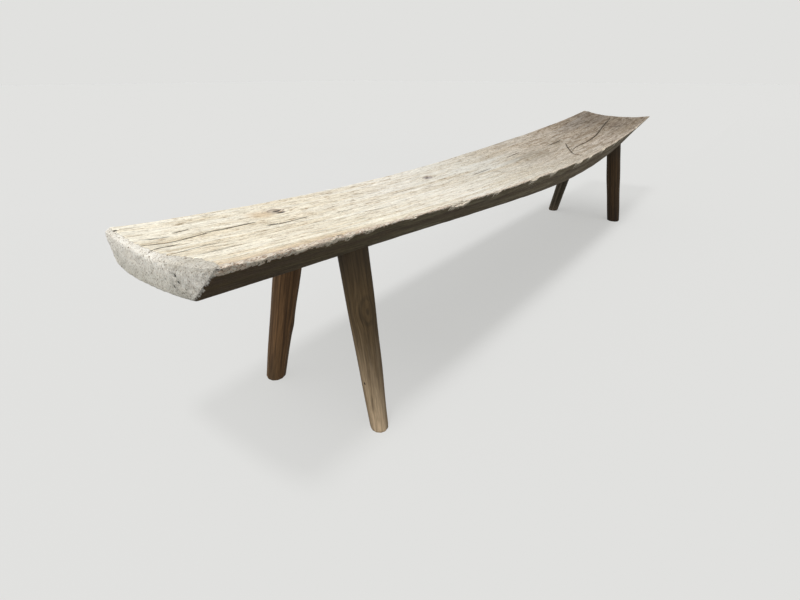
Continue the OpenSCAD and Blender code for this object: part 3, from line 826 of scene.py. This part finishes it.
for number, (name, node, foot, entry, foot_wide, top_wide) in enumerate(legs):
    top_point = Vector(entry)
    way_up = (top_point - Vector((*foot, 0.0))).normalized()
    low_point = Vector((*foot, 0.0)) - way_up * leg_below_floor
    long = (top_point - low_point).length + leg_into_seat
    bpy.ops.object.select_all(action="DESELECT")
    bpy.ops.mesh.primitive_cone_add(vertices=leg_sides, radius1=1.0, radius2=1.0, depth=2.0, end_fill_type="NGON")
    leg = bpy.context.object
    leg.name = name
    slice_block(leg, 2, leg_rings - 1)

    post = read_points(leg.data)
    height_up = (post[:, 2] + 1) / 2 * long
    share_up = height_up / long
    turn_at = np.arctan2(post[:, 1], post[:, 0])
    turned = np.column_stack([np.cos(turn_at), np.sin(turn_at)])
    radius = (foot_wide + (top_wide - foot_wide) * share_up) / 2 + leg_swell * 4 * share_up * (1 - share_up)
    around = np.column_stack([turned * wrap_radius, height_up])
    shaved = 0.0007 * np.abs(np.sin(turn_at * 5.5 + number + 0.4 * np.sin(height_up * 9)))
    dent = 0.0011 * ripple(around, (0.030, 0.030, 0.10), number * 3.3)
    dent += 0.00035 * ripple(around, (0.0035, 0.0035, 0.09), 5.0 + number)
    knots = leg_knots.get(node, ())
    for knot, swelling in zip(knots, (0.0014, -0.0015)):
        dent += swelling * np.exp(-round_leg_distance(knot, height_up, turn_at, radius) ** 2)
    radius += dent - shaved
    local = np.column_stack([turned * radius[:, None], height_up])
    side_way = Vector((1, 0, 0))
    side_way = (side_way - way_up * side_way.dot(way_up)).normalized()
    stood = np.array(low_point) + local @ np.array([side_way, way_up.cross(side_way), way_up])
    leg.data.vertices.foreach_set("co", stood.ravel())
    leg.data.update()

    leg_flow = np.column_stack([height_up, local[:, 0], local[:, 1]])
    knot_away = np.full((len(post), 3), 9.0)
    for column, knot in enumerate(knots):
        knot_up, knot_turn, knot_long, knot_wide = knot
        knot_side = np.array([math.cos(math.radians(knot_turn)), math.sin(math.radians(knot_turn))]) * wrap_radius
        off = leg_flow[:, 1:] - knot_side
        off_share = ((height_up - knot_up) / (knot_long * 1.2)) ** 2 + (off ** 2).sum(axis=1) / (knot_wide * 1.6) ** 2
        leg_flow[:, 1:] -= off * 0.8 * np.exp(-off_share)[:, None]
        knot_away[:, column] = round_leg_distance(knot, height_up, turn_at, radius)
    keep_values(leg, "grain", leg_flow)
    keep_values(leg, "knot", knot_away)

    # The leg is sawn off level with the floor, and the rim of its sole is worn in a little.
    bpy.ops.object.mode_set(mode="EDIT")
    bpy.ops.mesh.select_all(action="SELECT")
    bpy.ops.mesh.bisect(plane_co=(0, 0, 0), plane_no=(0, 0, 1), use_fill=True, clear_inner=True)
    bpy.ops.object.mode_set(mode="OBJECT")
    sole = read_points(leg.data)
    lift = np.clip(1 - sole[:, 2] / sole_worn_up, 0, 1)
    sole[:, :2] = np.array(foot) + (sole[:, :2] - np.array(foot)) * (1 - sole_worn_in * lift ** 2)[:, None]
    leg.data.vertices.foreach_set("co", sole.ravel())
    leg.data.update()
    bpy.ops.object.shade_smooth_by_angle(angle=math.radians(50))

    dark_tone, light_tone, foot_wear_and_shade, foot_reach, top_dark = leg_tones[node]
    finish, tree, shader = bare_material("aged " + node.replace("_", " "), 0.72)
    grain = kept(tree, "grain", "Vector")
    upright, _, _ = apart(tree, grain)
    knot_off, hole_off, _ = apart(tree, kept(tree, "knot", "Vector"))
    shifted = vectors(tree, "ADD", grain, (number * 3.1, number * 0.7, 0))
    streak, fine, check, blotch = wood_fibre(tree, shifted)
    bands = soft_noise(tree, shifted, (0.30, 0.0065, 0.0065), 4, 0.6, 0.6)
    leg_colour = blend_colour(tree, ramp_between(tree, bands, 0.38, 0.62), dark_tone, light_tone)
    # The foot's tone: worn on most legs, and on the front right leg a near-black painted shade low on the leg by the
    # floor.
    foot_share = times(
        tree, ramp_between(tree, plus(tree, upright, times(tree, blotch, 0.16)), 0.14 + foot_reach, 0.06),
        ramp_between(tree, streak, 0.62, 0.40, 0.35, 1.0))
    leg_colour = blend_colour(tree, foot_share, leg_colour, foot_wear_and_shade)
    leg_colour = multiply_tones(tree, leg_colour, ((1.0, grey(tree, ramp_between(tree, fine, 0.33, 0.68, 1.18, 0.80))),))
    leg_colour = blend_colour(tree, times(tree, check, 0.28), leg_colour, (0.03, 0.02, 0.012))
    ring_mask = knot_rings(tree, {
        "Distance": knot_off, "Streak": streak, "Rings": 6.5, "Wander": 13.0, "Low": -0.2, "Outer": 1.9, "Inner": 0.6})
    leg_colour = blend_colour(tree, times(tree, ring_mask, 0.5), leg_colour, (0.035, 0.025, 0.014))
    if len(knots) > 1:
        leg_colour = blend_colour(tree, ramp_between(tree, hole_off, 1.1, 0.7), leg_colour, (0.008, 0.006, 0.005))
    top_shade = ramp_between(tree, upright, long - 0.10, long - 0.012, 0.0, top_dark)
    leg_colour = blend_colour(tree, top_shade, leg_colour, (0.04, 0.03, 0.02))
    dress(tree, shader, leg_colour, plus(tree, times(tree, fine, 0.4), times(tree, bands, 0.6)), 0.7, 0.001)
    leg.data.materials.append(finish)
    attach(leg, "root")
    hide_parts(node)


# Wedges: thin split wedges that spread each leg's tenon in its blind hole, out of sight inside the seat.
# They keep their own solids and get the colour and grain of fresh split wood.
wedge_finish, tree, shader = bare_material("split wedge", 0.65)
turned_up = put_node(tree, "ShaderNodeMapping", {"Vector": own_place(tree), "Rotation": (0, math.pi / 2, 0)})
_, fine, _, _ = wood_fibre(tree, turned_up.outputs[0])
wedge_colour = colours_along(tree, fine, ((0.3, (0.36, 0.24, 0.13)), (0.7, (0.62, 0.47, 0.30))))
dress(tree, shader, wedge_colour, fine, 0.5, 0.0005)
for corner in ("front_left", "front_right", "back_left", "back_right"):
    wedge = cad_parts["wedge_" + corner]
    wedge.data.materials.clear()
    wedge.data.materials.append(wedge_finish)


# Light: one soft lamp above the left end, and a pale room that is brighter on the left.
lamp_place = Vector((-1.45, -0.10, 2.25))
lamp_aim = Vector((1.70, 0.0, 0.0))
lamp_strength = 15.0
lamp_size = 0.38
room_light = 0.50
room_lean = 1.5
backdrop = (0.753, 0.753, 0.738, 1)
lamp_data = bpy.data.lights.new("soft lamp", "AREA")
lamp_data.shape = "DISK"
lamp_data.size = lamp_size
lamp_data.energy = lamp_strength
lamp_data.use_nodes = True
lamp_tree = lamp_data.node_tree
falloff = put_node(lamp_tree, "ShaderNodeLightFalloff", {"Strength": 1.0})
lamp_tree.links.new(falloff.outputs["Linear"], lamp_tree.nodes["Emission"].inputs["Strength"])
lamp = bpy.data.objects.new("soft lamp", lamp_data)
bpy.context.scene.collection.objects.link(lamp)
lamp.location = lamp_place
lamp_way = (lamp_aim - lamp_place).normalized()
lamp.rotation_euler = lamp_way.to_track_quat("-Z", "Y").to_euler()


def show_straight(tree, output, lit, seen):
    """Gives the object's light one shader, and the camera, gloss and glass another."""
    rays = put_node(tree, "ShaderNodeLightPath").outputs
    in_gloss = maths(tree, "MAXIMUM", rays["Is Glossy Ray"], rays["Is Transmission Ray"])
    shown = maths(tree, "MAXIMUM", rays["Is Camera Ray"], in_gloss)
    mixed = put_node(tree, "ShaderNodeMixShader", {0: shown, 1: lit.outputs[0], 2: seen.outputs[0]})
    tree.links.new(mixed.outputs[0], tree.nodes[output].inputs["Surface"])


world = bpy.data.worlds.new("pale room")
bpy.context.scene.world = world
world.use_nodes = True
tree = world.node_tree
room = tree.nodes["Background"]
room_x, _, _ = apart(tree, put_node(tree, "ShaderNodeTexCoord").outputs["Generated"])
lean = maths(tree, "MAXIMUM", maths(tree, "SUBTRACT", 1.0, times(tree, room_x, room_lean)), 0.0)
tree.links.new(times(tree, lean, room_light), room.inputs["Strength"])
room.inputs["Color"].default_value = (1.0, 1.0, 0.985, 1)
seen = put_node(tree, "ShaderNodeBackground", {"Color": backdrop, "Strength": 1.0})
show_straight(tree, "World Output", room, seen)


# Floor: a pale studio floor that runs into the backdrop and keeps only the bench's shadow. Seen directly,
# its glow makes up what the lamp leaves uneven, so that a floor with no shadow is the backdrop's colour.
lamp_on_floor = 0.1008 * lamp_strength
shadow_drop = 0.14
bpy.ops.object.select_all(action="DESELECT")
bpy.ops.mesh.primitive_plane_add(size=80)
floor = bpy.context.object
floor.name = "studio_floor"
floor_finish = bpy.data.materials.new("pale floor")
floor_finish.use_nodes = True
tree = floor_finish.node_tree
tree.nodes.remove(tree.nodes["Principled BSDF"])
here = own_place(tree)
floor_x, floor_y, _ = apart(tree, here)
offset = vectors(tree, "ADD", here, [-v for v in lamp_place])
far = vectors(tree, "LENGTH", offset)
aim = maths(tree, "MAXIMUM", vectors(tree, "DOT_PRODUCT", offset, list(lamp_way)), 0.0)
lamp_share = maths(
    tree, "DIVIDE", times(tree, aim, lamp_on_floor * lamp_place.z), maths(tree, "POWER", far, 3.0))
wanted_drop = times(
    tree, ramp_between(tree, floor_x, -1.15, -0.45, 0.45 * shadow_drop, shadow_drop),
    ramp_between(tree, floor_x, 0.75, 1.5, 1.0, 0.40), ramp_between(tree, floor_y, -0.11, -0.26, 1.0, 0.30))
paint = maths(tree, "DIVIDE", wanted_drop, maths(tree, "MAXIMUM", lamp_share, 0.0001))
paint = maths(tree, "MINIMUM", paint, 0.6)
lit = times(tree, paint, plus(tree, lamp_share, room_light))
glow = put_node(tree, "ShaderNodeCombineColor", {
    0: maths(tree, "SUBTRACT", backdrop[0], lit), 1: maths(tree, "SUBTRACT", backdrop[1], lit),
    2: maths(tree, "SUBTRACT", backdrop[2], times(tree, lit, 0.985))})
painted = put_node(tree, "ShaderNodeBsdfDiffuse", {"Color": grey(tree, paint)})
glowing = put_node(tree, "ShaderNodeEmission", {"Color": glow.outputs[0], "Strength": 1.0})
seen = put_node(tree, "ShaderNodeAddShader", {0: painted.outputs[0], 1: glowing.outputs[0]})
plain = put_node(tree, "ShaderNodeBsdfDiffuse", {"Color": (0.30, 0.30, 0.295, 1)})
show_straight(tree, "Material Output", plain, seen)
floor.data.materials.append(floor_finish)

bpy.context.scene.view_settings.view_transform = "Standard"
